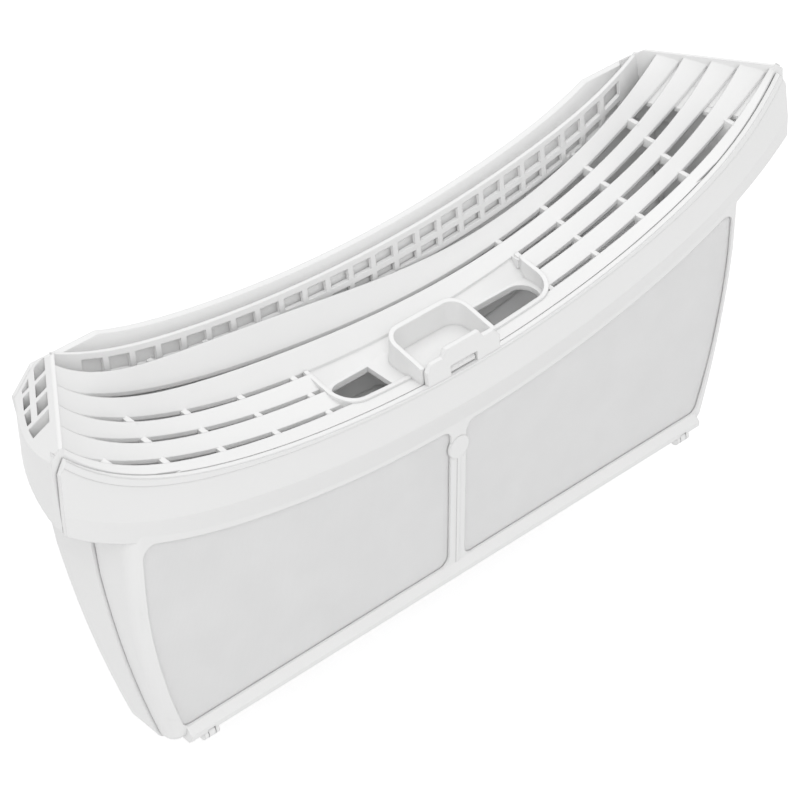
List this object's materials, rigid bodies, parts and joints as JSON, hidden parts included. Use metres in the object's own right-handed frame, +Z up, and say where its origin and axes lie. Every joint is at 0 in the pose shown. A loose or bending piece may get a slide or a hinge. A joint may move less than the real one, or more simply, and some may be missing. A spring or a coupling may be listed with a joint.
{
  "type": "tumble dryer lint filter",
  "caption": "Lint filter for a tumble dryer: curved louvred collar with handle cup and finger wells over a tapering mesh pocket whose front flap swings open.",
  "frame": {"origin": "middle of the bounding box seen from above, at the lowest point, under the hinge eyes", "axes": "+X along the length, +Z up out of the dryer's slot, -Y the side the flap opens to"},
  "size_m": [0.32, 0.056, 0.1404],
  "materials": {
    "collar_plastic": "satin",
    "shell_plastic": "satin",
    "flap_plastic": "satin",
    "mesh": "fine woven"
  },
  "bodies": {
    "body": {"top_grille": "collar_plastic", "rear_frame": "shell_plastic", "mesh_rear_left": "mesh", "mesh_rear_right": "mesh"},
    "flap": {"flap_frame": "flap_plastic", "mesh_front_left": "mesh", "mesh_front_right": "mesh"}
  },
  "joints": [
    {"name": "flap_hinge", "type": "hinge", "parent": "body", "child": "flap", "pos_m": [0, -0.02474, 0.0022], "axis": [1, 0, 0], "range_deg": [0, 110]}
  ]
}
